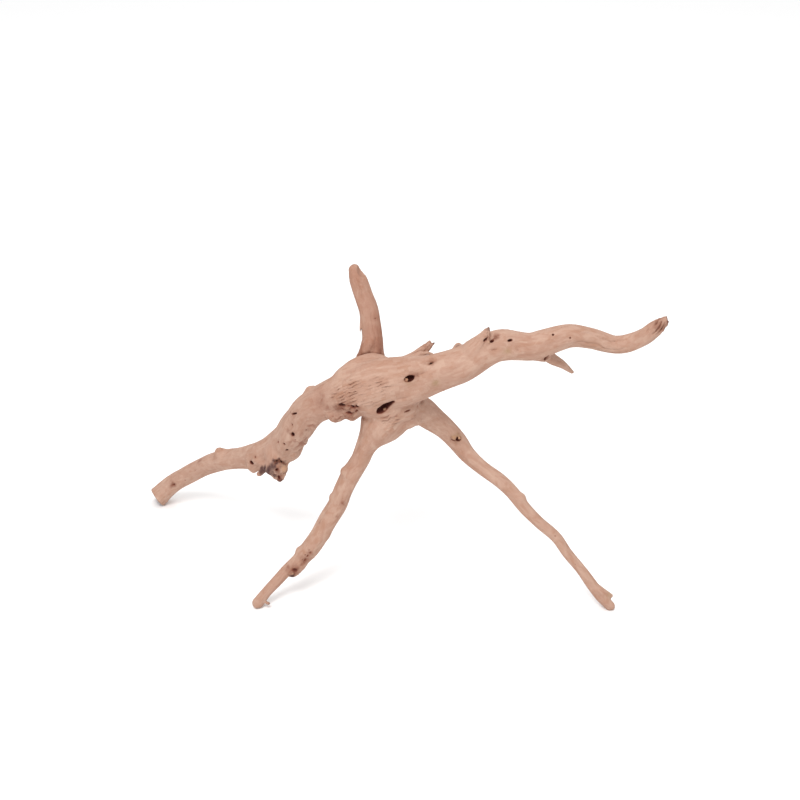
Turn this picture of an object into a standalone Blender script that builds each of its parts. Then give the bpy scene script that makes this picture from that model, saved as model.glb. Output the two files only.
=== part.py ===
"""Bogwood root: one grown piece of weathered wood that stands on two legs and a sawn arm.

A thick knotted body runs from the sawn arm, which comes down behind on the left, to a long
bare arm that ends in a split tip in the air on the right. Two thinner legs join in a web under
the body and come down in front. An upright, some broken thorns and a few lumps grow from it.
"""

import math

import bmesh
import bpy
from mathutils import Matrix, Vector

MM = 0.001

# Driving sizes, in millimetres
RING_STEP = 3.0
SKIN_CELL = 1.1
BOX_MIDDLE = Vector((-7.2, 82.85, 0.0))
FLOOR_BLOCK = Vector((600.0, 500.0, 40.0))
SAW_BLOCK = Vector((60.0, 60.0, 24.0))

# Counts and shares
RING_SIDES = 20
TIP_RINGS = 4
HOLLOW_FINENESS = 2
SMOOTH_ROUNDS = 4
SMOOTH_SHARE = 0.5
KEPT_FACES = 0.066

# Ridges that run along each limb: how deep, how many, and turns per millimetre
RIDGES = (
    (0.050, 2, 0.0021),
    (0.035, 3, -0.0034),
    (0.022, 5, 0.0052),
)

# Limbs: each point is x, y, z and the radius there, in millimetres.
# Zero height is the floor and zero depth the line through the two front feet.
STEM = (
    (-209, 162, 6.0, 9.2), (-200, 161, 15.5, 8.3), (-188, 157, 27, 8.1), (-169, 146, 44, 8.3),
    (-152, 133, 58, 8.7), (-134, 118, 69, 8.8), (-121, 105, 78, 9.9), (-109, 93, 88, 11.3),
    (-93, 78, 105, 13.2), (-80, 62, 130, 13.3), (-68, 48, 153, 13.6), (-52, 38, 166, 15.4),
    (-37, 30, 176, 18.2), (-17, 26, 185, 19.7), (4, 24, 189, 18.5), (23, 23, 196, 14.8),
    (45, 23, 202, 13.3), (67, 24, 215, 11.9), (77, 26, 218, 11.6), (88, 27, 217, 10.5),
    (98, 28, 216, 10.0), (109, 30, 218, 10.0), (128, 33, 222, 8.7), (143, 35, 219, 8.1),
    (153, 36, 216, 7.6), (161, 36, 213, 7.0), (169, 35, 215, 7.0), (177, 34, 218, 6.8),
    (184, 32, 223, 6.6), (190, 30, 230, 6.0), (196, 28, 236, 4.4),
)
LEFT_LEG = (
    (-12, 28, 153, 15.4), (-25, 26, 134, 8.9), (-31, 26, 120, 7.7), (-38, 25, 107, 7.8),
    (-44, 24, 94, 7.4), (-49, 24, 80, 7.5), (-56, 22, 68, 7.5), (-64, 20, 54, 7.2),
    (-73, 18, 41, 7.0), (-81, 15, 31, 7.1), (-89, 12, 26, 6.2), (-97, 8, 20, 4.9),
    (-105, 5, 12, 4.4), (-111, 2, 3.6, 5.3),
)
RIGHT_LEG = (
    (-20, 29, 151, 7.8), (-12, 32, 148, 14.3), (2, 38, 157, 15.5), (14, 45, 153, 12.2),
    (23, 51, 143, 10.8), (34, 52, 133, 8.7), (45, 51, 122, 7.7), (53, 48, 112, 6.6),
    (65, 43, 102, 5.7), (78, 38, 94, 5.6), (88, 34, 86, 5.3), (98, 28, 75, 5.0),
    (109, 23, 65, 4.7), (122, 18, 55, 4.8), (131, 13, 43, 4.5), (142, 8, 31, 4.4),
    (151, 4, 19, 4.8), (158, 2, 10, 4.8), (166, -1, 2.8, 4.3),
)
UPRIGHT = (
    (-18, 44, 181, 13.0), (-21, 53, 195, 9.4), (-21, 60, 206, 8.0), (-22, 66, 216, 7.6),
    (-24, 71, 226, 7.4), (-28, 76, 236, 6.9), (-32, 80, 247, 6.6), (-35, 83, 254, 4.4),
)

# Smaller growth on the limbs, in the same form
SPURS = {
    "crest at the foot of the upright": (
        (-39, 32, 186, 11.4), (-32, 35, 190, 11.4), (-21, 38, 189, 11.8),
    ),
    "broken thorn behind the body": (
        (4, 42, 191, 7.8), (14, 45, 199, 5.0), (21, 47, 205, 3.4), (24, 48, 209, 2.2),
    ),
    "stub on top": ((42, 31, 205, 5.0), (43, 33, 212, 2.9)),
    "thorn on top": ((55, 22, 216, 7.8), (62, 21, 225, 5.2), (65, 21, 232, 2.4)),
    "twig under the long arm": (
        (106, 38, 209, 6.2), (114, 44, 198, 4.8), (123, 48, 191, 3.4), (133, 54, 181, 1.9),
    ),
    "knob under the long arm": ((97, 30, 210, 6.2), (108, 32, 207, 5.8)),
    "burl": ((-98, 74, 97, 10.2), (-98, 68, 88, 8.6), (-97, 66, 83, 5.4)),
    "nub beside the burl": ((-111, 84, 85, 7.0), (-114, 79, 77.5, 3.4)),
    "heel of the sawn arm": ((-119, 95, 80, 7.6), (-121, 96, 78, 7.0)),
    "twig at the left foot": ((-108, 3, 6, 3.0), (-105, 0, 5, 2.1), (-103, -1, 4.4, 1.9)),
    "fork at the right foot": ((157, 1, 16, 3.3), (162, 1, 13, 3.0), (166, 1, 11, 2.2)),
    "bump on the sawn arm": ((-149, 126, 67, 6.2), (-150, 125, 71, 4.2)),
    "bump on the left leg": ((-39, 24, 108, 6.2), (-42, 22, 111, 4.4)),
    "first lump under the body": ((-47, 30, 161, 9.4), (-49, 25, 160, 6.8)),
    "second lump under the body": ((-37, 28, 166, 11.4), (-35, 23, 165, 8.4)),
    "lump on the shoulder": ((-77, 60, 130, 8.6), (-75, 56, 128, 6.1)),
    "lump on the elbow": ((-87, 73, 106, 8.8), (-86, 71, 102, 7.2)),
    "knob on the corner": ((-66, 51, 162, 7.6), (-69, 50, 166, 4.6)),
}

# Hollows: middle of the mouth, way out, run of the longer side, half length, half width, depth
HOLLOWS = {
    "long slot": ((-11, 9, 173), (0.0, -0.85, -0.5), (0.82, -0.3, 0.5), 9.0, 3.6, 9.0),
    "round hole": ((6.5, 7.5, 198), (0.0, -0.87, 0.49), (1.0, 0.0, 0.1), 4.2, 3.0, 8.0),
    "left crater": ((-44, 13.5, 172), (-0.39, -0.89, -0.25), (0.8, -0.3, 0.5), 2.2, 1.8, 5.0),
    "middle crater": ((-36, 11, 171), (-0.16, -0.92, -0.35), (0.9, 0.0, -0.3), 3.2, 1.8, 5.5),
    "lower crater": ((-37, 14, 165.5), (-0.14, -0.93, -0.33), (1.0, 0.0, 0.2), 3.6, 1.5, 4.0),
    "hole under the thorn": ((64, 16, 226), (0.17, -0.96, 0.24), (0.9, 0.1, -0.2), 2.4, 1.6, 5.0),
    "hole beside the thorn": ((69, 17.6, 225.6), (0.13, -0.61, 0.78), (1.0, 0.1, -0.2), 2.8, 1.5, 4.0),
    "groove on the body": ((24, 15.4, 209.3), (-0.1, -0.5, 0.86), (1.0, 0.0, 0.2), 7.0, 1.5, 2.2),
    "snapped end of the left leg": ((-82.4, 7.6, 30.2), (0.13, -0.98, 0.16), (0.5, 0.0, 0.9), 2.4, 1.9, 4.0),
    "cavity beside the burl": ((-110, 77.6, 80.5), (0.71, -0.69, -0.16), (0.2, 0.2, 1.0), 2.2, 1.8, 4.0),
    "pit above the burl": ((-83.4, 48, 130), (-0.4, -0.86, -0.32), (0.5, -0.3, 0.8), 2.2, 1.8, 4.0),
    "pit under the sawn arm": ((-120.4, 87.6, 81.5), (-0.42, -0.91, 0.03), (1.0, 0.2, 0.2), 2.2, 1.7, 3.5),
    "knot hole in the right leg": ((45.6, 45.2, 128), (0.42, -0.79, 0.44), (0.7, 0.0, -0.7), 2.2, 1.7, 3.5),
}

# The saw cut: a point on it and the way its flat face looks
SAW_POINT = (-209.5, 162, 6.5)
SAW_FACING = (-0.80, -0.277, -0.532)


def clear_scene():
    for thing in list(bpy.data.objects):
        bpy.data.objects.remove(thing, do_unlink=True)


def wood_material():
    wood = bpy.data.materials.new("weathered_wood")
    wood.use_nodes = True
    shader = wood.node_tree.nodes["Principled BSDF"]
    shader.inputs["Base Color"].default_value = (0.58, 0.37, 0.26, 1.0)
    shader.inputs["Roughness"].default_value = 0.85
    shader.inputs["Metallic"].default_value = 0.0
    return wood


def curve_through(points, step):
    """Evenly walked samples of a smooth curve through the points, each with its radius."""
    rows = [Vector(point) for point in points]
    rows = [rows[0] * 2 - rows[1]] + rows + [rows[-1] * 2 - rows[-2]]
    samples = []
    for before, start, end, after in zip(rows, rows[1:], rows[2:], rows[3:]):
        count = max(2, round((end - start).length / step))
        for index in range(count):
            t = index / count
            bend = before * 2 - start * 5 + end * 4 - after
            twist = start * 3 - before - end * 3 + after
            samples.append((start * 2 + (end - before) * t + bend * t * t + twist * t ** 3) * 0.5)
    samples.append(rows[-2])
    return samples


def side_vectors(path):
    """Two crossing side vectors at each sample, carried along without a twist."""
    sides = []
    side = Vector((0, -1, 0))
    last = len(path) - 1
    for index in range(last + 1):
        ahead = path[min(index + 1, last)]
        behind = path[max(index - 1, 0)]
        along = (ahead - behind).normalized()
        side = (side - along * side.dot(along)).normalized()
        sides.append((along, side, along.cross(side)))
    return sides


def ridge_factor(angle, travelled):
    """How far the skin stands out at this angle, after this length of the limb."""
    factor = 1.0
    for depth, count, turns in RIDGES:
        factor += depth * math.cos(count * (angle + travelled * turns * math.tau))
    return factor


def ring(mesh, centre, frame, radius, travelled):
    along, side, up = frame
    corners = []
    for index in range(RING_SIDES):
        angle = math.tau * index / RING_SIDES
        reach = radius * ridge_factor(angle, travelled)
        place = centre + (side * math.cos(angle) + up * math.sin(angle)) * reach
        corners.append(mesh.verts.new(place * MM))
    return corners


def add_limb(mesh, points):
    """A tube through the points, with both ends rounded off."""
    samples = curve_through([(x, y, z, r) for x, y, z, r in points], RING_STEP)
    path = [Vector(sample[:3]) - BOX_MIDDLE for sample in samples]
    radii = [sample[3] for sample in samples]
    frames = side_vectors(path)
    rings = []

    def rounded_end(index, way, order):
        along = frames[index][0] * way
        for step in order:
            lean = math.pi / 2 * step / TIP_RINGS
            centre = path[index] + along * radii[index] * math.sin(lean)
            rings.append(ring(mesh, centre, frames[index], radii[index] * math.cos(lean), 0.0))

    rounded_end(0, -1, range(TIP_RINGS - 1, 0, -1))
    travelled = 0.0
    for index, centre in enumerate(path):
        rings.append(ring(mesh, centre, frames[index], radii[index], travelled))
        travelled += RING_STEP
    rounded_end(len(path) - 1, 1, range(1, TIP_RINGS))

    for first, second in zip(rings, rings[1:]):
        for index in range(RING_SIDES):
            after = (index + 1) % RING_SIDES
            mesh.faces.new((first[index], first[after], second[after], second[index]))
    mesh.faces.new(list(reversed(rings[0])))
    mesh.faces.new(rings[-1])


def new_object(name, mesh):
    data = bpy.data.meshes.new(name)
    mesh.to_mesh(data)
    mesh.free()
    thing = bpy.data.objects.new(name, data)
    bpy.context.scene.collection.objects.link(thing)
    return thing


def make_limbs():
    mesh = bmesh.new()
    for points in (STEM, LEFT_LEG, RIGHT_LEG, UPRIGHT):
        add_limb(mesh, points)
    for points in SPURS.values():
        add_limb(mesh, points)
    bmesh.ops.recalc_face_normals(mesh, faces=mesh.faces)
    return new_object("bogwood_root", mesh)


def axes_matrix(centre, outward, run):
    """A place whose Z looks outward and whose X follows the run."""
    z_axis = Vector(outward).normalized()
    x_axis = Vector(run)
    x_axis = (x_axis - z_axis * x_axis.dot(z_axis)).normalized()
    turn = Matrix((x_axis, z_axis.cross(x_axis), z_axis)).transposed()
    return Matrix.Translation(Vector(centre)) @ turn.to_4x4()


def make_cutter(name, mesh):
    cutter = new_object(name, mesh)
    cutter.hide_render = True
    cutter.display_type = "WIRE"
    return cutter


def make_hollows():
    """Round-bottomed pockets that sink in from the skin, as one cutter."""
    mesh = bmesh.new()
    for centre, outward, run, half_length, half_width, depth in HOLLOWS.values():
        size = Matrix.Diagonal((half_length * MM, half_width * MM, depth * MM, 1.0))
        place = axes_matrix((Vector(centre) - BOX_MIDDLE) * MM, outward, run)
        bmesh.ops.create_icosphere(mesh, subdivisions=HOLLOW_FINENESS, radius=1.0, matrix=place @ size)
    return make_cutter("hollows", mesh)


def make_block(name, size, place):
    """A block whose top face lies in the plane of the place."""
    mesh = bmesh.new()
    drop = Matrix.Translation((0, 0, -size.z / 2 * MM))
    scale = Matrix.Diagonal((size.x * MM, size.y * MM, size.z * MM, 1.0))
    bmesh.ops.create_cube(mesh, size=1.0, matrix=place @ drop @ scale)
    return make_cutter(name, mesh)


def cut(thing, cutter):
    step = thing.modifiers.new("cut " + cutter.name, "BOOLEAN")
    step.operation = "DIFFERENCE"
    step.solver = "EXACT"
    step.object = cutter


def grow_together(thing):
    """Join the limbs in one skin and ease the forks."""
    skin = thing.modifiers.new("one skin", "REMESH")
    skin.mode = "VOXEL"
    skin.voxel_size = SKIN_CELL * MM
    ease = thing.modifiers.new("eased forks", "SMOOTH")
    ease.factor = SMOOTH_SHARE
    ease.iterations = SMOOTH_ROUNDS


def fewer_faces(thing):
    step = thing.modifiers.new("fewer faces", "DECIMATE")
    step.ratio = KEPT_FACES


def make_root():
    root = make_limbs()
    root.data.materials.append(wood_material())
    root.data.shade_smooth()
    grow_together(root)
    cut(root, make_hollows())
    fewer_faces(root)
    saw_place = axes_matrix((Vector(SAW_POINT) - BOX_MIDDLE) * MM, -Vector(SAW_FACING), (0, 1, 0))
    cut(root, make_block("saw", SAW_BLOCK, saw_place))
    cut(root, make_block("floor", FLOOR_BLOCK, Matrix.Identity(4)))
    return root


clear_scene()
make_root()
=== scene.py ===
"""Bogwood root: the fine skin, finish and setting of one grown piece of barked, sun-dried wood.

The root is measured in millimetres as a distance field: limbs that taper along smooth centre
lines, eased together at the forks, with hollows, pits, checks and wrinkles taken out of the skin.
One closed mesh is drawn on that field, and each of its points knows where it lies in the grain.
"""

import math
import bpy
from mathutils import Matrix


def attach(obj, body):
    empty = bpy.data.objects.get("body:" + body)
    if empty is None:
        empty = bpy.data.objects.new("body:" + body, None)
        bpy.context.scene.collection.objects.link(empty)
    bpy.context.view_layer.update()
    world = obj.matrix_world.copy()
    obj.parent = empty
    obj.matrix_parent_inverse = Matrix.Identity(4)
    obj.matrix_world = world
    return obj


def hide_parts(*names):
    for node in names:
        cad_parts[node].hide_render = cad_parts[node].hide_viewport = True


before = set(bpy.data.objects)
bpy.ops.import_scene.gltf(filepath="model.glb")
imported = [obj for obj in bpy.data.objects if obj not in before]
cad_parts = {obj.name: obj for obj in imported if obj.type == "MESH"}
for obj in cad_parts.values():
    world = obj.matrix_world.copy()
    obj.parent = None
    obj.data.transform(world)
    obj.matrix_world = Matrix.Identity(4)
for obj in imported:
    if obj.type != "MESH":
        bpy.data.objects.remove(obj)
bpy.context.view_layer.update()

from concurrent.futures import ThreadPoolExecutor

import bpy
import numpy as np
from mathutils import Vector

MM = 0.001

# Driving sizes of the root, in millimetres
RING_STEP = 3.0
BOX_MIDDLE = np.array((-7.2, 82.85, 0.0))
SEARCH_LOW = np.array((-224.0, -12.0, -2.0))
SEARCH_HIGH = np.array((206.0, 182.0, 266.0))
FINE_CELL = 0.56
RELIEF = 0.9
RIDGE_REACH = 1.11
HOLLOW_START = 0.25
HOLLOW_RANGE = 2.4
VALLEY_REACH = 1.3

# How widely each kind of form is eased into the skin that it meets, in millimetres
FORK_EASE = 6.0
SPUR_EASE = 3.0
SPLINTER_EASE = 0.8
CHIP_EASE = 0.8
HOLLOW_EASE = 0.6
BORE_EASE = 0.5
BEAD_EASE = 0.9
SAW_EASE = 0.7
BREAK_EASE = 0.5

# How space is searched: the side of a block, half its diagonal as a share of that side, and how
# far round a block the limbs, the cuts and the grain are looked for, in millimetres
BLOCK = 16.0
HALF_DIAGONAL = 0.87
LIMB_REACH = 10.0
CUT_REACH = 14.0
GRAIN_REACH = 26.0
FAR_AWAY = 30.0

# Counts, seeds, and how the merging of faces is steered
CREW = 4
COARSE_HALVINGS = 3
DETAIL_LEVELS = 8
DETAIL_STEP = 0.06
DETAIL_PULL = 1e-5
MOST_FACES = 195000
KEY_BASE = 4096
KEY_SHIFT = 512
LUMP_SEED = 97
SPLINTER_SEED = 89
BORE_SEED = 29

# Large odd numbers that mix a corner's three counts and the seed into noise
CORNER_MIXERS = (374761393, 668265263, 2246822519)
SEED_MIXER = 3266489917
LAST_MIXER = 2654435761

# Ridges that run along each limb: how deep as a share of its radius, how many, and turns per
# millimetre
RIDGES = (
    (0.050, 2, 0.0021),
    (0.035, 3, -0.0034),
    (0.022, 5, 0.0052),
)

# Limbs: each point is x, y, z and the radius there, in millimetres.
# Zero height is the floor and zero depth the line through the two front feet.
STEM = (
    (-209, 162, 6.0, 9.2), (-200, 161, 15.5, 8.3), (-188, 157, 27, 8.1), (-169, 146, 44, 8.3),
    (-152, 133, 58, 8.7), (-134, 118, 69, 8.8), (-121, 105, 78, 9.9), (-109, 93, 88, 11.3),
    (-93, 78, 105, 13.2), (-80.4, 62, 130, 13.8), (-68.2, 48, 153, 13.7), (-52, 38, 166.4, 15.7),
    (-37, 30, 176, 18.2), (-17, 26, 185, 19.7), (4, 24, 189, 18.5), (23, 23, 195.4, 14.8),
    (45, 23, 202, 13.0), (67, 24, 215.4, 11.1), (77, 26, 217.6, 11.2), (88, 27, 216.9, 10.4),
    (98, 28, 216, 10.0), (109, 30, 218, 10.0), (128, 33, 222.2, 8.8), (143, 35, 218.9, 8.1),
    (153, 36, 215.4, 7.6), (161, 36, 213.4, 7.1), (169, 35, 214.2, 7.0), (177, 34, 217.4, 6.8),
    (184, 32, 222.6, 6.7), (190, 30, 229.4, 6.3), (195, 28.4, 234, 5.4), (200, 27.6, 236.6, 4.6),
)
LEFT_LEG = (
    (-12, 28, 153, 15.4), (-25, 26, 134, 8.6), (-31, 26, 120, 7.3), (-38, 25, 107, 7.4),
    (-44, 24, 94, 7.0), (-49, 24, 80, 7.1), (-56, 22, 68, 7.1), (-64, 20, 54, 6.9),
    (-73, 18, 41, 6.8), (-79.4, 16.5, 34.5, 5.6), (-84.4, 15, 31, 4.7), (-90.5, 12.3, 26, 4.5),
    (-97.5, 8.2, 19.4, 4.4), (-105, 5, 11.8, 4.2), (-112, 2, 3.6, 4.7),
)
RIGHT_LEG = (
    (-20, 29, 151, 7.8), (-12, 32, 148.6, 13.7), (2, 38, 158.6, 14.6), (14, 45, 153, 12.0),
    (23.6, 51, 143.4, 10.2), (34.6, 52, 133.6, 8.3), (45, 51, 122, 7.4), (53, 48, 112, 6.3),
    (65, 43, 102, 5.4), (78, 38, 94, 5.3), (88, 34, 86, 5.0), (98, 28, 75, 4.7),
    (109, 23, 65, 4.5), (122, 18, 55, 4.5), (131, 13, 43, 4.3), (142, 8, 31, 4.2),
    (151, 4, 19, 4.6), (158, 2, 10, 4.6), (165.4, -1, 2.9, 4.0),
)
UPRIGHT = (
    (-18, 44, 181, 13.0), (-21, 53, 195, 9.4), (-21, 60, 206, 8.0), (-22, 66, 216, 7.6),
    (-24, 71, 226, 7.4), (-28, 76, 236, 6.9), (-32, 80, 247, 6.6), (-35, 83, 254, 4.4),
)

# Smaller growth with a grain of its own, in the same form
THORN_BEHIND = (
    (2, 41, 191.8, 8.0), (11, 43, 198.2, 5.4), (17.5, 45.5, 203.6, 3.9), (21.6, 47, 207.6, 2.4),
    (22.6, 48, 210.2, 0.8),
)
THORN_ON_TOP = ((55, 22, 216, 7.8), (61.5, 21, 225, 5.2), (64.4, 21, 231, 2.8), (65.6, 21, 234.2, 1.0))
TWIG_UNDER_ARM = (
    (107, 38, 208, 5.4), (115, 44, 198, 4.5), (124, 48, 190.8, 3.3), (132.4, 53.8, 181.4, 1.5),
)
BURL = ((-98, 74, 97, 10.2), (-98, 68, 88.6, 8.5), (-97, 66, 84, 5.2))

# Everything with a grain of its own: points, ease and the seed of its relief
GROWTH = {
    "stem": (STEM, FORK_EASE, 11),
    "left_leg": (LEFT_LEG, 9.0, 23),
    "right_leg": (RIGHT_LEG, 8.0, 37),
    "upright": (UPRIGHT, 3.5, 41),
    "thorn_behind": (THORN_BEHIND, 4.0, 53),
    "thorn_on_top": (THORN_ON_TOP, SPUR_EASE, 61),
    "twig_under_arm": (TWIG_UNDER_ARM, 2.5, 71),
    "burl": (BURL, SPUR_EASE, 83),
}
SIDE_GRAINS = ("upright", "thorn_behind", "thorn_on_top", "twig_under_arm", "burl")

# Lumps that the grain of the limbs flows over, in the same form
LUMPS = {
    "crest at the foot of the upright": (
        (-39, 32, 186, 11.2), (-32, 35, 190.6, 11.0), (-21, 38, 192.6, 11.6), (-14, 38, 191.6, 10.6),
    ),
    "left root of the upright": ((-24, 53, 205, 5.8), (-28, 49, 198, 4.6), (-33.4, 46, 191.5, 3.6)),
    "web between the legs": ((4, 29, 153, 6.0), (12.5, 30, 151.2, 3.4)),
    "fill between the elbow and the burl": ((-95, 73, 99, 7.0), (-92, 71, 97, 5.4)),
    "knob on the left leg": ((-76, 18, 40, 3.2), (-79.4, 18, 42, 2.5)),
    "front of the fork": ((-20, 27, 172, 15.6), (-10, 28, 168, 15.4), (-1, 31, 166, 14.8)),
    "stub on top": ((43, 31, 205, 5.0), (43.4, 32, 212, 3.4), (43.6, 32, 214, 2.6)),
    "shoulder of the stub": ((46, 30, 206, 4.4), (47.6, 30, 211, 2.4)),
    "knob under the long arm": ((97, 30, 210, 6.2), (108, 32, 207, 5.8)),
    "arm above the nub": ((-112, 88, 86, 7.0), (-110, 85, 86, 6.2)),
    "heel of the sawn arm": ((-118, 95, 80, 7.6), (-118.6, 95, 77.0, 7.1)),
    "nub beside the burl": (
        (-106, 80, 84.6, 4.0), (-110.0, 78.2, 81.2, 3.1), (-113.6, 76.6, 78.0, 2.1),
    ),
    "wood between the nub and the burl": ((-103, 78, 87, 4.8), (-106, 75, 85.2, 3.4)),
    "left lobe of the burl": ((-101, 68, 91, 5.0), (-103.0, 64.5, 88.8, 4.1)),
    "point of the burl": ((-97, 65, 84, 4.0), (-96.2, 62.6, 82.2, 2.0)),
    "fork at the right foot": ((157, 1, 16, 3.0), (162, 1, 13, 2.6), (166, 1, 11, 1.6)),
    "bump on the sawn arm": ((-149, 126, 67, 6.2), (-150, 125, 71, 4.0)),
    "bump on the left leg": ((-39, 24, 108, 6.2), (-42, 22, 111, 4.2)),
    "first lump under the body": ((-47, 30, 161, 9.4), (-49, 25, 160, 6.8)),
    "second lump under the body": ((-38, 28, 166, 11.4), (-37, 23, 165, 8.4)),
    "lump on the shoulder": ((-78.2, 60, 130, 8.6), (-76.4, 56, 128, 6.1)),
    "lump on the elbow": ((-87, 73, 106, 8.8), (-86, 71, 102, 7.2)),
    "knob on the corner": ((-66, 51, 162, 7.6), (-69, 50, 166, 4.6)),
}

# Splinters: thin slivers that stand off the wood, in the same form
SPLINTERS = {
    "sliver on the upright": (
        (-28.4, 68, 228, 1.6), (-29.4, 66, 220, 1.5), (-30.2, 63.5, 215, 0.9), (-30.6, 62.2, 212, 0.5),
    ),
    "prong of the thorn": ((17.5, 45.5, 201, 3.0), (21.8, 46.4, 205.6, 2.0), (26.0, 47.3, 209.2, 0.6)),
    "lower ridge of the thorn": ((8, 41, 199.5, 2.0), (18, 42.5, 203, 1.7), (24.5, 43.5, 202, 0.8)),
    "snapped end of the left leg": (
        (-64, 19, 53, 6.2), (-73, 17, 41.5, 6.1), (-80.0, 14.4, 32.0, 6.2), (-85.0, 12.3, 27.6, 5.6),
    ),
    "twig at the left foot": ((-109, 3, 5.6, 1.7), (-106, 0.5, 5.2, 1.1), (-103.6, -0.4, 4.6, 1.3)),
}

# Hollows: both ends on the skin, half width, depth, and any lean of the way in
HOLLOWS = {
    "long slot": ((-17.0, 11, 167.6), (-6.0, 8.4, 178.4), 3.4, 9.0, (0.1, 0.35, 0.75)),
    "long slot's lower end": ((-16.9, 10.4, 168.2), (-11.6, 10.2, 173.6), 2.7, 7.5, (0.0, 0.3, 0.7)),
    "long slot's upper end": ((-9.4, 8.8, 175.6), (-3.8, 7.8, 179.4), 1.7, 3.4, (0.0, 0.2, 0.5)),
    "round hole": ((3.0, 7.4, 197.4), (10.6, 8.6, 199.9), 2.5, 6.5, (0.3, 0.2, -0.1)),
    "tail of the round hole": ((8.0, 8.0, 199.0), (12.2, 8.6, 200.8), 1.1, 2.0),
    "floor of the craters": ((-47.0, 14.0, 171.0), (-30.5, 10.4, 170.5), 5.2, 1.9),
    "left crater": ((-46.6, 13.8, 171.4), (-41.6, 12.0, 174.4), 2.0, 4.6, (0, 0, 0.3)),
    "smear under the craters": ((-45.4, 14.0, 170.2), (-42.4, 15.4, 165.8), 1.6, 2.6),
    "middle crater": ((-37.4, 11.2, 172.4), (-34.4, 10.2, 173.6), 1.7, 3.6),
    "right crater": ((-33.6, 10.2, 172.8), (-31.3, 9.2, 175.2), 1.3, 3.0),
    "lower crater": ((-42.0, 15.4, 165.2), (-32.8, 13.8, 165.5), 1.4, 3.2, (0, 0, 0.3)),
    "end of the lower crater": ((-33.4, 13.9, 165.5), (-31.8, 12.2, 170.0), 1.0, 2.2),
    "pit under the thorn": ((61.9, 15.6, 225.4), (65.0, 17.0, 226.9), 1.2, 3.6, (0.2, 0, 0.4)),
    "cleft over that pit": ((64.2, 16.6, 226.3), (65.9, 17.8, 229.3), 0.6, 1.4),
    "pit beside the thorn": ((66.7, 17.8, 224.7), (69.8, 19.2, 226.0), 1.2, 3.4, (0, 0, -0.3)),
    "cleft behind the thorn": ((68.4, 18.6, 226.0), (73.4, 21.6, 228.2), 1.0, 1.9, (0, 0.3, 0)),
    "slit in the long arm": ((80.0, 18.3, 224.8), (84.0, 19.6, 225.3), 0.9, 3.4, (0, 0.2, 0.2)),
    "snapped end": ((-86.2, 8.0, 30.4), (-80.4, 7.6, 30.6), 1.5, 1.7, (-0.5, 0, -0.6)),
    "corner of the snapped end": ((-82.8, 7.4, 30.8), (-80.6, 7.6, 28.6), 1.6, 1.8, (-0.2, 0, -0.3)),
    "split of the snapped end": ((-85.4, 7.6, 28.4), (-83.8, 7.0, 26.6), 0.6, 1.4),
    "second split of the snapped end": ((-83.6, 7.0, 28.6), (-82.4, 7.0, 26.8), 0.5, 1.2),
    "torn strip of the left leg": ((-75.6, 9.7, 36.6), (-73.2, 10.2, 39.6), 0.8, 1.5),
    "second torn strip": ((-73.0, 10.4, 40.3), (-71.8, 10.7, 42.7), 0.7, 1.3),
    "third torn strip": ((-70.9, 10.9, 43.3), (-69.6, 11.2, 45.4), 0.6, 1.1),
    "fourth torn strip": ((-78.2, 8.8, 33.0), (-76.6, 8.9, 35.6), 0.5, 1.0),
    "crevice at the twig": ((111.4, 22.4, 211.0), (108.6, 27.0, 204.2), 1.0, 2.4),
    "slit on the elbow": ((-83.6, 46, 148.7), (-79.0, 39.4, 153.3), 0.65, 2.4),
    "dot on the elbow": ((-83.7, 46.2, 140.6), (-83.6, 46.1, 138.4), 0.8, 2.0),
    "pit on the elbow": ((-84.4, 48.7, 128.2), (-82.2, 46.0, 132.6), 1.5, 4.5),
    "brown pit on the elbow": ((-91.5, 55.8, 118.0), (-89.9, 55.0, 117.2), 1.1, 1.8),
    "dark pit on the elbow": ((-89.9, 58.1, 109.7), (-88.3, 57.0, 111.9), 1.1, 3.0),
    "nick on the elbow": ((-96.0, 61.2, 114.8), (-95.1, 60.0, 117.4), 0.6, 1.2),
    "faint pit on the elbow": ((-73.2, 42.0, 136.4), (-71.8, 41.3, 137.4), 0.7, 1.4),
    "pit at the heel": ((-122.6, 88.8, 81.8), (-118.6, 86.0, 82.6), 1.6, 4.2),
    "dot at the heel": ((-117.2, 84.2, 89.2), (-116.2, 83.8, 89.6), 0.6, 1.4),
    "pit in the burl": ((-99.1, 59.8, 90.8), (-96.7, 59.6, 92.4), 1.1, 1.8),
    "pit at the burl's point": ((-96.8, 59.3, 86.4), (-95.6, 60.2, 81.6), 1.2, 2.4),
    "knot hole": ((43.6, 43.9, 126.2), (47.8, 45.6, 128.6), 1.9, 3.6),
    "dot over the knot": ((45.7, 47.2, 131.0), (46.3, 47.6, 131.3), 0.5, 1.0),
    "pit on the upright": ((-19.2, 62.4, 222.3), (-18.3, 62.5, 223.1), 0.6, 1.3),
    "slit in the web": ((1.2, 19.0, 166.0), (5.6, 23.0, 166.6), 0.55, 1.6),
    "second slit in the web": ((9.6, 26.7, 165.0), (10.5, 27.8, 166.8), 0.5, 1.0),
    "pit in the split tip": ((188.8, 25.0, 234.8), (191.2, 25.6, 237.2), 0.8, 1.8),
    "smear on the sawn arm": ((-195.6, 151.2, 23.6), (-191.4, 149.6, 26.2), 0.9, 0.9),
}

# Pieces chipped off: middle and the three half sizes
CHIPS = (((-26.6, 79, 256.6), 6.3, 9.0, 6.8),)

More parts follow.
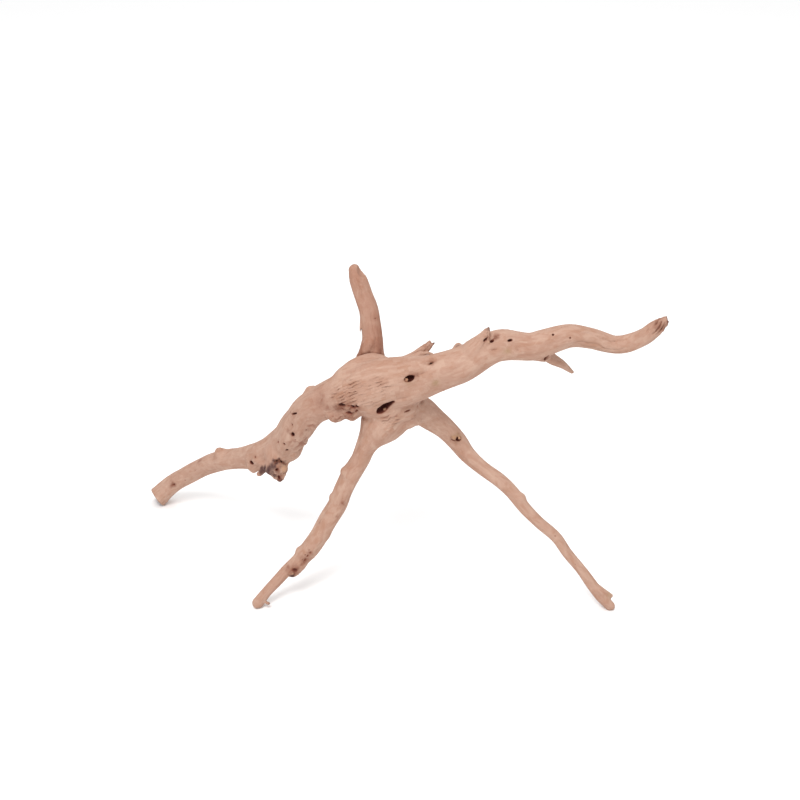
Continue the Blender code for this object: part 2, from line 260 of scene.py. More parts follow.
# Round borer holes: place on the skin, radius and depth
BORER_HOLES = (
    (-193.4, 150.3, 25.1, 0.9, 1.8), (-182.6, 145.1, 32.3, 0.6, 1.2), (-172.7, 137.7, 46.3, 0.5, 1.0),
    (-116.7, 83.7, 89.6, 0.6, 1.2), (-81.0, 49.2, 126.0, 0.5, 0.8), (114.0, 25.1, 226.8, 0.95, 1.8),
    (126.8, 24.5, 224.4, 0.75, 1.4), (194.4, 24.8, 237.3, 0.5, 1.2), (-63.4, 18.7, 67.8, 0.7, 1.0),
    (-74.4, 10.7, 42.4, 0.55, 1.0), (-76.6, 10.0, 38.6, 0.5, 1.0), (-71.4, 11.4, 46.6, 0.5, 1.0),
    (-44.1, 17.2, 89.9, 0.5, 1.0), (121.3, 13.8, 58.0, 0.5, 1.0), (137.2, 6.0, 36.8, 0.5, 0.8),
    (155.7, 29.2, 212.6, 0.5, 0.7),
)

# Shallow dents and low swellings: place on the skin, radius, and depth (a swelling is negative)
DENTS = (
    (-56.8, 21.8, 173.6, 9.0, 1.6), (-50.0, 17.0, 167.0, 7.0, 1.4), (-39.5, 13.0, 169.0, 6.5, 1.0),
    (-21.8, 9.9, 195.1, 1.6, 0.4), (-15.1, 8.6, 195.8, 1.6, 0.4), (-18.0, 7.4, 191.9, 1.7, 0.4),
    (-0.5, 6.6, 182.2, 3.0, 0.7), (12.5, 8.6, 200.0, 3.4, 0.9), (18.0, 9.3, 202.6, 3.0, 0.5),
    (70.2, 13.9, 220.0, 2.8, 0.8), (79.3, 14.3, 216.3, 3.0, 0.6), (87.8, 16.5, 218.2, 2.4, 0.5),
    (72.5, 19.0, 226.6, 4.0, 0.7), (27.1, 8.7, 194.3, 2.4, 0.3), (21.0, 14.6, 208.9, 4.5, 0.9),
    (-16.3, 13.0, 179.5, 3.4, -0.5), (-29.9, 17.7, 198.6, 4.5, 0.3), (133.5, 34.9, 230.0, 1.8, 0.6),
    (-64.4, 37.0, 144.6, 2.3, -1.5), (-69.5, 48.5, 130.5, 2.2, -1.5), (-75.4, 57.5, 117.0, 2.5, -1.4),
    (-79.2, 66.5, 104.7, 2.3, -1.3), (-67.4, 43.0, 137.6, 1.8, 1.0), (-72.6, 53.2, 123.4, 2.0, 1.0),
    (-77.4, 61.8, 110.4, 1.8, 0.9), (-66.5, 40.0, 140.8, 1.5, -0.8), (-84.5, 64.0, 100.0, 1.8, -0.9),
    (15.0, 31.0, 147.5, 3.0, -1.0), (9.0, 26.0, 148.0, 3.0, -1.2),
    (-80.8, 47.1, 127.1, 1.8, 0.5), (-104.5, 64.0, 93.5, 3.0, 0.8), (-100.0, 59.6, 84.0, 2.6, 0.7),
    (50.0, 42.4, 118.0, 2.2, -0.3), (-61.5, 25.0, 163.5, 7.0, 0.8), (-82.0, 52.0, 140.0, 7.0, 0.6),
)

# Small knobs on the skin: place and radius
KNOBS = (
    (-66.8, 40.4, 141.8, 2.8), (-76.0, 57.2, 118.6, 2.6), (-84.0, 64.5, 103.0, 2.4),
    (-52.4, 24.4, 87.0, 2.4), (95.2, 30.4, 83.0, 3.0), (-145.0, 124.0, 69.0, 3.4),
    (-61.0, 20.0, 57.0, 5.6), (-88.0, 70.0, 98.0, 3.0),
)

# Small beads of harder wood in or beside a hollow: place, radius and how brightly they show
BEADS = (
    (5.0, 9.6, 197.2, 1.25, 0.6), (-39.6, 14.4, 171.4, 2.3, 0.0), (-36.0, 14.0, 168.8, 1.6, 0.0),
    (46.2, 44.7, 128.3, 1.05, 1.0), (42.0, 44.9, 128.8, 1.5, 0.55), (-86.4, 7.8, 27.6, 0.9, 0.6),
    (-84.4, 7.0, 27.6, 0.7, 0.5), (65.7, 17.0, 224.6, 1.0, 0.3), (-93.0, 63.4, 90.0, 3.0, 0.5),
    (-11.6, 13.6, 170.4, 0.95, 0.6),
)

# Shallow grooves over the skin: points along each one, half width and depth
GROOVES = (
    (((21.3, 14.6, 208.6), (23.1, 15.0, 208.9), (25.4, 15.8, 209.4)), 0.8, 1.9),
    (((17.0, 14.2, 208.0), (22.0, 14.8, 208.8), (31.0, 16.9, 210.9)), 1.5, 0.7),
    (((67.0, 14.1, 219.3), (70.1, 14.4, 219.7), (72.9, 14.6, 219.6)), 0.7, 0.8),
    (((86.0, 16.6, 218.6), (89.6, 16.8, 217.7)), 0.6, 0.6),
    (((69.6, 19.2, 225.8), (71.2, 20.6, 226.8), (72.8, 21.7, 227.5)), 0.9, 0.9),
    (((39.4, 44.2, 129.4), (40.1, 44.5, 126.6), (42.5, 44.3, 125.6), (44.6, 44.2, 126.4)), 0.55, 1.3),
    (((12.2, 8.6, 200.6), (16.4, 9.7, 202.0), (21.0, 10.6, 204.0)), 0.8, 0.6),
    (((77.0, 20.0, 227.6), (82.0, 21.0, 227.8), (89.3, 22.7, 226.9)), 0.9, 0.5),
    (((-4.2, 7.6, 180.4), (1.5, 6.6, 181.8), (8.0, 8.4, 184.4)), 1.0, 0.6),
    (((13.7, 30.0, 165.4), (19.6, 33.0, 166.8), (26.0, 34.0, 171.0)), 1.4, 0.8),
    (((7.0, 42.0, 200.5), (13.0, 43.0, 203.6), (20.2, 43.2, 204.9)), 0.6, 0.9),
    (((4.0, 40.0, 200.8), (9.0, 41.4, 203.0), (15.6, 42.4, 205.0)), 0.5, 0.5),
    (((-100.9, 61.3, 94.6), (-98.9, 62.0, 97.6), (-96.1, 62.4, 98.3), (-93.1, 63.4, 95.9),
      (-90.2, 65.9, 92.2)), 1.1, 1.9),
    (((194.1, 24.9, 238.6), (192.9, 23.4, 234.4), (190.3, 23.8, 229.8), (187.6, 24.2, 227.0)), 0.62, 1.4),
    (((196.3, 23.8, 238.6), (195.6, 23.4, 234.0), (193.2, 24.3, 229.4), (190.4, 24.6, 226.8)), 0.60, 1.3),
    (((192.0, 25.9, 238.4), (190.0, 25.3, 236.1), (188.7, 24.9, 234.1)), 0.60, 1.0),
    (((186.1, 25.9, 232.8), (183.9, 26.1, 229.8), (183.4, 25.8, 227.7)), 0.50, 0.7),
    (((198.0, 24.6, 239.0), (197.3, 23.5, 235.2), (195.6, 24.2, 231.1)), 0.50, 0.8),
    (((193.0, 28.6, 241.0), (190.0, 29.0, 237.0), (184.0, 29.0, 231.0)), 0.5, 1.5),
    (((195.6, 33.0, 238.6), (191.0, 36.0, 233.0), (185.0, 38.0, 227.0)), 0.5, 1.5),
    (((-34.0, 45.0, 195.5), (-30.9, 45.8, 198.8), (-28.2, 45.2, 200.6), (-24.3, 44.9, 201.6),
      (-19.8, 45.0, 201.6), (-16.0, 46.8, 199.8), (-12.6, 51.0, 196.2)), 0.8, 1.5),
)

# Where the skin is wrinkled: middle, radius and how strongly
WRINKLED_PLACES = (
    ((-36, 12, 184), 13.0, 1.0), ((-45, 16, 180), 9.0, 1.0), ((-15, 8, 192), 10.0, 0.85),
    ((-22, 10, 178), 8.0, 0.6), ((-8, 16, 160), 9.0, 0.85), ((6, 22, 160), 8.0, 0.7),
    ((2, 14, 204), 9.0, 0.3),
    ((-30, 50, 182), 15.0, 0.9), ((18, 41, 182), 14.0, 0.7), ((-74, 68, 150), 10.0, 0.6),
    ((62, 34, 212), 11.0, 0.5),
)

# Long drying checks on each limb: start, length, angle, half width and depth
CHECKS = {
    "stem": (
        (22, 46, 0.6, 0.45, 0.6), (60, 38, 2.9, 0.4, 0.5), (96, 30, -2.2, 0.5, 0.7),
        (120, 44, 1.9, 0.5, 0.7), (168, 40, 2.5, 0.6, 0.8), (196, 52, -1.9, 0.5, 0.7),
        (240, 60, 2.2, 0.5, 0.8), (262, 42, 0.95, 0.4, 0.5), (300, 58, -0.55, 0.4, 0.5),
        (318, 70, 2.8, 0.5, 0.7), (352, 44, 1.3, 0.4, 0.5), (384, 60, -2.4, 0.4, 0.6),
        (402, 50, 0.35, 0.35, 0.4), (452, 60, 1.1, 0.45, 0.9), (460, 52, 0.1, 0.5, 1.1),
        (468, 46, -0.8, 0.5, 1.0), (462, 50, -1.8, 0.5, 0.9), (466, 48, 2.2, 0.5, 1.0),
        (470, 44, 2.9, 0.45, 0.9), (474, 40, 0.6, 0.4, 1.0),
    ),
    "left_leg": (
        (20, 44, 0.5, 0.4, 0.5), (52, 50, -0.9, 0.4, 0.5), (84, 46, 1.3, 0.4, 0.6),
        (70, 60, 2.8, 0.4, 0.5), (120, 40, -2.0, 0.4, 0.5), (128, 34, 0.2, 0.35, 0.5),
    ),
    "right_leg": (
        (50, 54, 0.2, 0.4, 0.5), (84, 60, 1.9, 0.35, 0.4), (110, 50, -1.1, 0.35, 0.4),
        (140, 56, 0.8, 0.35, 0.5), (170, 60, 2.7, 0.35, 0.4), (200, 46, -0.3, 0.35, 0.4),
    ),
    "upright": (
        (18, 40, 0.3, 0.45, 0.6), (24, 44, 1.6, 0.4, 0.5), (30, 50, -1.3, 0.45, 0.7),
        (16, 46, 2.7, 0.4, 0.6), (60, 26, 0.0, 0.4, 0.8), (58, 28, -2.2, 0.4, 0.8),
    ),
    "thorn_behind": ((6, 24, 0.0, 0.4, 0.8), (8, 22, 1.2, 0.4, 0.7), (8, 22, -1.6, 0.4, 0.7)),
    "thorn_on_top": ((4, 20, 0.3, 0.4, 0.8), (5, 20, 1.8, 0.4, 0.7), (5, 20, -1.4, 0.4, 0.7)),
    "twig_under_arm": ((8, 40, 0.2, 0.35, 0.5), (14, 36, 2.0, 0.35, 0.5)),
}

# The saw cut: a point on it and the way its flat face looks
SAW_POINT = np.array((-210.0, 161.8, 6.1))
SAW_FACING = np.array((-0.80, -0.277, -0.532))

# Broken, rough wood: middle, radius and how rough it is
ROUGH_PLACES = (
    ((-97, 64, 87), 10.0, 1.2), ((-113, 78, 79), 4.0, 0.7), ((-39, 15, 165), 8.0, 0.5),
    ((-46, 22, 158), 8.0, 0.5), ((-76, 50, 122), 10.0, 0.55), ((-82, 10, 29), 5.0, 0.6),
    ((196, 28, 238), 6.0, 0.5), ((65, 21, 232), 4.0, 0.4), ((22, 47, 208), 4.5, 0.5),
    ((-68, 38, 144), 5.0, 0.6),
)

# Ruddy wood, and painted shade under the body and on the twig under the arm: middle, radius and any share
RUDDY_PLACES = (
    ((-20, 56, 203), 13.0, 0.9), ((-19, 62, 212), 10.0, 0.85), ((-21, 66, 222), 8.0, 0.7),
    ((-25, 70, 230), 14.0, 0.42), ((-32, 78, 250), 12.0, 0.40), ((24, 48, 156), 9.0, 0.2),
    ((-98, 8, 18), 18.0, 0.22), ((196, 26, 236), 12.0, 0.15), ((118, 42, 198), 9.0, 0.1),
    ((-62, 30, 168), 10.0, 0.35),
)
# Brown stains, and painted shade at the twig's foot under the arm and round the craters: middle, radius
# and any share
BROWN_PLACES = (
    ((-168, 138, 55), 2.4), ((-194, 150.6, 24.4), 3.2), ((-112, 79, 80), 3.0),
    ((-44.4, 17.2, 85.7), 2.4), ((-49.5, 16, 74.8), 2.2), ((-63.4, 18.7, 67.8), 2.0),
    ((-82, 8, 31), 3.5), ((-83, 7.6, 29.6), 4.4), ((-88, 10, 31), 2.4),
    ((-75, 10.6, 36.9), 2.0), ((-74, 10.4, 38), 4.2), ((-71, 11.4, 43.6), 2.6),
    ((-44, 13, 172), 4.6), ((-34.0, 10.5, 172), 3.8), ((-39, 15, 165), 4.5),
    ((-44, 15, 168), 3.4), ((-38.5, 12, 170), 8.0, 0.6), ((-46, 16, 168), 5.6),
    ((-45, 14, 170.6), 4.0), ((-44, 14, 166), 5.0), ((-48, 17.5, 163), 5.0, 0.8),
    ((-40, 16, 162), 4.0, 0.8), ((-55, 18, 166), 5.0, 0.7), ((-60, 26, 172), 6.0, 0.6),
    ((-79, 62, 108), 2.0), ((-74, 46.7, 128.4), 1.4), ((-82, 47, 149), 2.6),
    ((-85.6, 50, 132), 2.4), ((-96, 59, 84), 3.0), ((43, 44, 127), 2.5), ((40, 44, 127), 2.0),
    ((-31, 48, 199), 4.5), ((-28, 50, 203), 3.2, 0.8), ((-22, 45, 201.4), 2.2),
    ((-15, 49, 200), 3.6), ((9, 8.4, 201.4), 3.0), ((12.4, 8.6, 200.8), 2.4),
    ((23, 15, 209), 3.4), ((70, 14.4, 219.7), 1.3), ((72, 21, 227), 2.6),
    ((109.5, 25.5, 207.3), 3.0), ((112, 35, 204), 3.4, 0.6), ((197, 24, 233), 3.0, 0.5),
    ((193, 25, 234), 5.0),
)
# Dusky torn wood, and painted shade on the burl's undercut and shaded face and on the nub's shaded side:
# middle, radius and any share
DUSKY_PLACES = (
    ((-104, 62, 89), 4.6), ((-101, 61, 94), 3.0), ((-103.4, 61.6, 92.0), 2.8),
    ((-99.5, 61.5, 97.5), 2.4), ((-96, 62.4, 98.8), 2.0), ((-92.4, 63.6, 96.4), 1.6),
    ((-101, 59.6, 85.5), 3.0, 0.9), ((-98, 59.6, 90.6), 1.8, 0.7), ((-96, 59.8, 82), 2.2, 0.9),
    ((-109.4, 75.6, 82.4), 3.6), ((-106, 72, 84), 3.4), ((-110.6, 77.0, 79.6), 2.6),
    ((-110.2, 75.0, 82.6), 3.4), ((-108.3, 72.7, 85.0), 3.2), ((199, 26, 238), 3.0, 0.3),
    ((66, 21, 234), 2.0, 0.6), ((26, 47.3, 209.6), 1.6, 0.7), ((-85, 7.4, 24.8), 2.6),
    ((-103.2, -1, 4.4), 1.2, 0.6), ((43.3, 29, 216), 1.8, 0.6),
)
# Olive patches: middle and radius
OLIVE_PLACES = (
    ((27.1, 8.7, 194.3), 3.2), ((45, 45, 129), 3.4), ((80, 14.5, 217), 3.0), ((6, 9, 196), 2.6),
    ((164, 1, 12), 3.0), ((-90, 62, 91), 4.0), ((42, 44.5, 129), 2.4),
)

# The way the folds of the wrinkled skin run, the way up across them, and the way out of the body
FOLD_AXES = np.array(((0.938, 0.119, 0.326), (-0.346, 0.416, 0.841), (-0.035, -0.901, 0.432)))

# Folds: the step from one to the next, how long and how deep one runs, in millimetres, where its
# steep front ends and how wide the long back is as shares of the step, and the crease under it
FOLD_PITCH = 2.3
FOLD_LENGTH = 3.8
FOLD_DEPTH = 9.0
FOLD_FRONT = 0.34
FOLD_BACK = 0.66
FOLD_RISE = 1.8
FOLD_SINK = 0.5
# The crease under each fold is painted shade; these set its width, as a share of the step, and its
# strength
CREASE_WIDTH = 0.13
CREASE_SHARE = 0.72

# The snapped far end: points on the break and the way each of its two faces looks
BREAKS = (
    (np.array((198.7, 26.3, 233.8)), np.array((0.873, -0.225, -0.432))),
    (np.array((199.0, 26.3, 238.0)), np.array((0.970, -0.100, 0.222))),
)


# The distance field

def curve_through(points, step):
    """Evenly walked samples of a smooth curve through the points, each with its radius."""
    rows = np.array(points, float)
    rows = np.vstack((2 * rows[0] - rows[1], rows, 2 * rows[-1] - rows[-2]))
    samples = []
    for before, start, end, after in zip(rows, rows[1:], rows[2:], rows[3:]):
        count = max(2, round(float(np.linalg.norm(end - start)) / step))
        t = (np.arange(count) / count)[:, None]
        bend = before * 2 - start * 5 + end * 4 - after
        twist = start * 3 - before - end * 3 + after
        samples.append((start * 2 + (end - before) * t + bend * t * t + twist * t ** 3) * 0.5)
    samples.append(rows[-2:-1])
    return np.vstack(samples)


def unit(vectors):
    """The same directions, each of length one."""
    vectors = np.asarray(vectors, float)
    return vectors / np.linalg.norm(vectors, axis=-1, keepdims=True)


def side_vectors(path):
    """Two crossing side vectors at each sample, carried along without a twist."""
    ahead = np.vstack((path[1:], path[-1:]))
    behind = np.vstack((path[:1], path[:-1]))
    along = unit(ahead - behind)
    sides = np.zeros_like(path)
    side = np.array((0.0, -1.0, 0.0))
    for index, way in enumerate(along):
        side = unit(side - way * side.dot(way))
        sides[index] = side
    return sides, np.cross(along, sides)


def value_noise(places, seed):
    """Smooth noise between -1 and 1, one bump or dent for each unit of distance."""
    low = np.floor(places)
    share = (places - low).astype(np.float32)
    share = share * share * (3 - 2 * share)
    corner = low.astype(np.int64).astype(np.uint32)
    x_mixer, y_mixer, z_mixer = np.array(CORNER_MIXERS, np.uint32)
    seed_shift = np.uint32(seed * SEED_MIXER % 2 ** 32)
    total = np.zeros(len(places), np.float32)
    for dx, dy, dz in np.ndindex(2, 2, 2):
        mixed = (corner[:, 0] + np.uint32(dx)) * x_mixer + seed_shift
        mixed += (corner[:, 1] + np.uint32(dy)) * y_mixer
        mixed += (corner[:, 2] + np.uint32(dz)) * z_mixer
        mixed = (mixed ^ (mixed >> np.uint32(15))) * np.uint32(LAST_MIXER)
        mixed ^= mixed >> np.uint32(13)
        weight = (share[:, 0] if dx else 1 - share[:, 0]) * (share[:, 1] if dy else 1 - share[:, 1])
        weight = weight * (share[:, 2] if dz else 1 - share[:, 2])
        total += weight * ((mixed & np.uint32(0xFFFF)).astype(np.float32) / 32767.5 - 1)
    return total


def eased_least(first, second, ease):
    """The nearer of two skins, filled out smoothly where they meet."""
    near = np.maximum(ease - np.abs(first - second), 0) / ease
    return np.minimum(first, second) - near * near * ease / 4


def eased_most(first, second, ease):
    """The farther of two skins, rounded off smoothly where they meet."""
    return -eased_least(-first, -second, ease)


class Limb:
    """A limb as short tapering pieces along its centre line, with its own grain."""

    def __init__(self, name, points, ease, seed):
        samples = curve_through(points, RING_STEP)
        self.name = name
        self.path = samples[:, :3]
        self.radii = samples[:, 3]
        self.side, self.up = side_vectors(self.path)
        self.ease = ease
        self.seed = seed
        self.middles = (self.path[1:] + self.path[:-1]) / 2
        self.reaches = np.maximum(self.radii[1:], self.radii[:-1]) * RIDGE_REACH + RING_STEP / 2
        self.checks = CHECKS.get(name, ())

    def pieces_near(self, middle, reach):
        gap = np.linalg.norm(self.middles - middle, axis=1) - self.reaches
        return np.nonzero(gap < reach)[0]

    def look(self, points, pieces):
        """Distance from the plain tube, its radius, and the place along and across the grain."""
        start = self.path[pieces]
        run = self.path[pieces + 1] - start
        offset = points[:, None, :] - start[None]
        share = (offset * run).sum(2) / (run * run).sum(1)
        share = np.clip(share, 0, 1)
        gap = offset - share[:, :, None] * run
        reach = self.radii[pieces] + share * (self.radii[pieces + 1] - self.radii[pieces])
        distance = np.sqrt((gap * gap).sum(2)) - reach
        best = np.argmin(distance, axis=1)
        rows = np.arange(len(points))
        share, gap = share[rows, best], gap[rows, best]
        piece = pieces[best]
        lean = share[:, None]
        side = self.side[piece] * (1 - lean) + self.side[piece + 1] * lean
        up = self.up[piece] * (1 - lean) + self.up[piece + 1] * lean
        place = np.stack(((piece + share) * RING_STEP, (gap * side).sum(1), (gap * up).sum(1)), 1)
        return distance[rows, best], reach[rows, best], place

    def skin(self, points, pieces, fine):
        """Distance from the ridged skin, and the place along and across the grain."""
        distance, reach, place = self.look(points, pieces)
        travelled = place[:, 0]
        angle = np.arctan2(place[:, 2], place[:, 1])
        for depth, count, turns in RIDGES:
            swell = np.cos(count * (angle + travelled * turns * math.tau))
            distance = distance - reach * depth * swell
        if fine and self.name not in LUMPS:
            distance = distance - self.relief(reach, place)
            distance = distance + self.check_depth(travelled, angle, reach)
        return distance, place

    def relief(self, reach, place):
        """Slow swellings, flutes and raised grain that follow the limb."""
        swell = value_noise(place / (34, 10, 10) + 7, self.seed) * np.minimum(0.036 * reach, 0.5)
        flute = value_noise(place / (30, 3.6, 3.6) + 5, self.seed + 1) * np.minimum(0.024 * reach, 0.2)
        grain = value_noise(place / (12, 1.7, 1.7) + 3, self.seed + 2) * 0.06
        return swell + flute + grain

    def check_depth(self, travelled, angle, reach):
        """How deep the long drying checks go at each point."""
        depth = np.zeros(len(travelled))
        for start, length, heading, width, deep in self.checks:
            share = (travelled - start) / length
            inside = (share > 0) & (share < 1)
            if not inside.any():
                continue
            sway = 0.10 * np.sin(share * 9 + start) + 0.05 * np.sin(share * 23 + heading)
            turn = angle - heading - sway
            turn = (turn + math.pi) % math.tau - math.pi
            taper = np.sqrt(np.clip(share * (1 - share) * 4, 0, 1))
            across = turn * reach / (width * (0.4 + 0.6 * taper) + 0.05)
            depth += np.where(inside, deep * taper * np.exp(-across * across), 0)
        return depth


class Root:
    """The whole root: its limbs, and everything that is taken out of or stands on the skin."""

    def __init__(self):
        self.limbs = [Limb(name, *row) for name, row in GROWTH.items()]
        self.limbs += [Limb(name, points, SPUR_EASE, LUMP_SEED) for name, points in LUMPS.items()]
        self.limbs += [
            Limb(name, points, SPLINTER_EASE, SPLINTER_SEED) for name, points in SPLINTERS.items()
        ]
        saddle = tuple(reversed(LEFT_LEG)) + RIGHT_LEG[2:]
        grown = {limb.name: limb for limb in self.limbs}
        self.main_grain = grown["stem"]
        self.side_grains = [Limb("saddle", saddle, FORK_EASE, 23)]
        self.side_grains += [grown[name] for name in SIDE_GRAINS]
        self.carve()

    def by_block(self, points, work, width):
        """Measure block by block, so that each measurement looks only at the few limbs near it."""
        result = np.full((len(points), width), FAR_AWAY)
        cell = np.floor(points / BLOCK).astype(np.int64)
        key = pack_key(cell)
        order = np.argsort(key, kind="stable")
        edges = np.nonzero(np.diff(key[order]))[0] + 1

        def measure(rows):
            middle = (cell[rows[0]] + 0.5) * BLOCK
            result[rows] = work(points[rows], middle)

        with ThreadPoolExecutor(CREW) as crew:
            list(crew.map(measure, np.split(order, edges)))
        return result

    def column(self, points, work, *options):
        """One number for each point, measured block by block."""
        return self.by_block(points, lambda near, middle: work(near, middle, *options)[:, None], 1)[:, 0]

    def skin_in_block(self, points, middle, fine):
        reach = BLOCK * HALF_DIAGONAL + LIMB_REACH
        total = np.full(len(points), FAR_AWAY)
        for limb in self.limbs:
            pieces = limb.pieces_near(middle, reach)
            if len(pieces):
                distance, _ = limb.skin(points, pieces, fine)
                total = eased_least(total, distance, limb.ease)
        return total

    def skin(self, points, fine=False):
        """Distance from the skin before anything is taken out of it."""
        return self.column(points, self.skin_in_block, fine)

    def way_out(self, points, step=0.5):
        """The direction in which the skin's distance grows."""
        steps = step * np.eye(3)
        rise = [self.skin(points + way) - self.skin(points - way) for way in steps]
        return unit(np.stack(rise, 1) + 1e-9)

    def seated(self, points):
        """The same places, moved onto the skin."""
        points = np.array(points, float)
        for _ in range(3):
            points = points - self.skin(points)[:, None] * self.way_out(points)
        return points

    def carve(self):
        """Seat every hollow, bore, dent and groove on the skin, once."""
        self.hollows = [self.hollow_axes(*row) for row in HOLLOWS.values()]
        self.chips = [(np.array(middle), np.eye(3), np.array(sizes)) for middle, *sizes in CHIPS]
        bores = np.vstack((np.array(BORER_HOLES), self.scattered_bores()))
        seats = self.seated(bores[:, :3])
        self.bores = np.hstack((seats, self.way_out(seats), bores[:, 3:]))
        dents = np.array(DENTS)
        self.dents = np.hstack((self.seated(dents[:, :3]), dents[:, 3:]))
        self.grooves = np.array(self.groove_pieces())

    def hollow_axes(self, start, end, half_width, depth, lean=(0, 0, 0)):
        """A hollow between two places on the skin, as a stretched ball that leans inward."""
        start, end = self.seated([start, end])
        middle = self.seated([(start + end) / 2])
        outward = unit(self.way_out(middle)[0] - np.array(lean))
        run = end - start
        half_length = np.linalg.norm(run) / 2
        run = unit(run - outward * run.dot(outward))
        axes = np.array((run, np.cross(outward, run), outward))
        return middle[0], axes, np.array((half_length, half_width, depth))

    def scattered_bores(self):
        """More borer holes all round, drawn from a fixed seed."""
        draw = np.random.default_rng(BORE_SEED)
        rows = []
        for limb, count in zip(self.limbs[:4], (34, 8, 8, 6)):
            for sample in draw.integers(4, len(limb.path) - 3, count):
                angle = draw.uniform(0, math.tau)
                out = limb.side[sample] * math.cos(angle) + limb.up[sample] * math.sin(angle)
                place = limb.path[sample] + out * limb.radii[sample]
                size = draw.uniform(0.45, 0.85)
                if out[1] > 0.1:
                    rows.append((*place, size, size * 2))
        rows = np.array(rows)
        return rows[np.abs(self.skin(rows[:, :3])) < 1.5]

    def groove_pieces(self):
        """Every groove as straight pieces: start, end, half width and depth."""
        pieces = []
        for points, width, depth in GROOVES:
            line = self.seated(curve_through([(*p, 1) for p in points], 1.2)[:, :3])
            out = self.way_out(line)
            taper = np.sin(np.linspace(0.35, 2.8, len(line) - 1))
            rows = zip(line, line[1:], out, taper)
            pieces += [(*start, *end, *way, width, depth * share) for start, end, way, share in rows]
        return pieces

    def near(self, rows, middle, extra):
        """The rows whose place is in the block or close to it."""
        gap = np.linalg.norm(rows[:, :3] - middle, axis=1)
        return rows[gap < BLOCK * HALF_DIAGONAL + extra]

    def weathered_in_block(self, points, middle, fine):
        """The skin with its dents, and if asked with its rough wood, wrinkles and grooves."""
        skin = self.skin_in_block(points, middle, fine)
        for x, y, z, radius, depth in self.near(self.dents, middle, 14.0):
            gap = ((points - (x, y, z)) ** 2).sum(1) / radius ** 2
            skin = skin + depth * np.exp(-gap)
        for centre, axes, sizes in self.chips:
            if np.linalg.norm(middle - centre) < BLOCK * HALF_DIAGONAL + CUT_REACH:
                skin = eased_most(skin, -ellipsoid(points, centre, axes, sizes), CHIP_EASE)
        for x, y, z, radius in KNOBS:
            if np.linalg.norm(middle - (x, y, z)) < BLOCK + radius:
                knob = np.linalg.norm(points - (x, y, z), axis=1) - radius
                skin = eased_least(skin, knob, SPUR_EASE)
        if not fine:
            return skin
        for spot, radius, rough in ROUGH_PLACES:
            if np.linalg.norm(middle - spot) < radius * 1.6 + BLOCK:
                weight = np.exp(-((points - spot) ** 2).sum(1) / radius ** 2)
                lumps = value_noise(points / 2.8, 5) + 0.6 * value_noise(points / 1.4, 6)
                skin = skin + rough * weight * (lumps - 0.1)
        wrinkled = self.wrinkled_in_block(points, middle)
        if wrinkled.any():
            height, _ = folds(points)
            skin = skin - wrinkled * (FOLD_RISE * height - FOLD_SINK)
        groove = self.groove_in_block(points, middle)
        if groove.any():
            skin = np.where(groove > 0.02, skin + groove, skin)
        return skin

    def wrinkled_in_block(self, points, middle):
        """How strongly the skin is wrinkled at each point."""
        wrinkled = np.zeros(len(points))
        for spot, radius, strength in WRINKLED_PLACES:
            if np.linalg.norm(middle - spot) < radius * 1.7 + BLOCK:
                weight = np.exp(-(((points - spot) ** 2).sum(1) / radius ** 2) ** 2)
                wrinkled = np.maximum(wrinkled, strength * weight)
        return wrinkled

    def groove_in_block(self, points, middle):
        """How deep each point lies in a groove."""
        groove = np.zeros(len(points))
        for row in self.near(self.grooves, middle, 5.0):
            start, run, out = row[0:3], row[3:6] - row[0:3], row[6:9]
            offset = points - start
            share = np.clip(offset @ run / (run @ run), 0, 1)
            across = offset - share[:, None] * run
            inward = across @ out
            gap = ((across ** 2).sum(1) - inward ** 2) / row[9] ** 2 + (inward / 4.0) ** 6
            groove = np.maximum(groove, row[10] * np.exp(-gap))
        return groove

    def creases_in_block(self, points, middle):
        """Painted shade as dark lines: the creases under the folds and the bottoms of the grooves."""
        _, crease_shade = folds(points)
        crease_shade = crease_shade * self.wrinkled_in_block(points, middle) * CREASE_SHARE
        return np.maximum(crease_shade, np.clip(self.groove_in_block(points, middle) / 1.6, 0, 1))

    def creases(self, points):
        return self.column(points, self.creases_in_block)

    def carved_in_block(self, points, middle, fine):
        """The weathered skin with its hollows, bores, beads, saw cut and snapped end."""
        skin = self.weathered_in_block(points, middle, fine)
        for centre, axes, sizes in self.hollows:
            if np.linalg.norm(middle - centre) < BLOCK * HALF_DIAGONAL + CUT_REACH:
                skin = eased_most(skin, -ellipsoid(points, centre, axes, sizes), HOLLOW_EASE)
        for x, y, z, ox, oy, oz, radius, depth in self.near(self.bores, middle, 4.0):
            offset = points - (x, y, z)
            inward = offset @ (-ox, -oy, -oz)
            side = np.sqrt(np.maximum((offset ** 2).sum(1) - inward ** 2, 0))
            wall = side - radius * (1 - 0.25 * np.clip(inward / depth, 0, 1))
            bore = np.maximum(np.maximum(wall, inward - depth), -inward - 2)
            skin = eased_most(skin, -bore, BORE_EASE)
        for x, y, z, radius, _ in BEADS:
            if np.linalg.norm(middle - (x, y, z)) < BLOCK + radius:
                bead = np.linalg.norm(points - (x, y, z), axis=1) - radius
                skin = eased_least(skin, bead, BEAD_EASE)
        skin = eased_most(skin, (points - SAW_POINT) @ SAW_FACING, SAW_EASE)
        if np.linalg.norm(middle - BREAKS[0][0]) < 40:
            ragged = value_noise(points / 1.7, 31) * 0.7 + value_noise(points / 4.0, 32) * 0.6
            for place, facing in BREAKS:
                skin = eased_most(skin, (points - place) @ facing + ragged, BREAK_EASE)
        return np.maximum(skin, -points[:, 2])

    def weathered(self, points):
        """Distance from the surface before its hollows are cut."""
        return self.column(points, self.weathered_in_block, True)

    def carved(self, points, fine=True):
        """Distance from the finished surface."""
        return self.column(points, self.carved_in_block, fine)

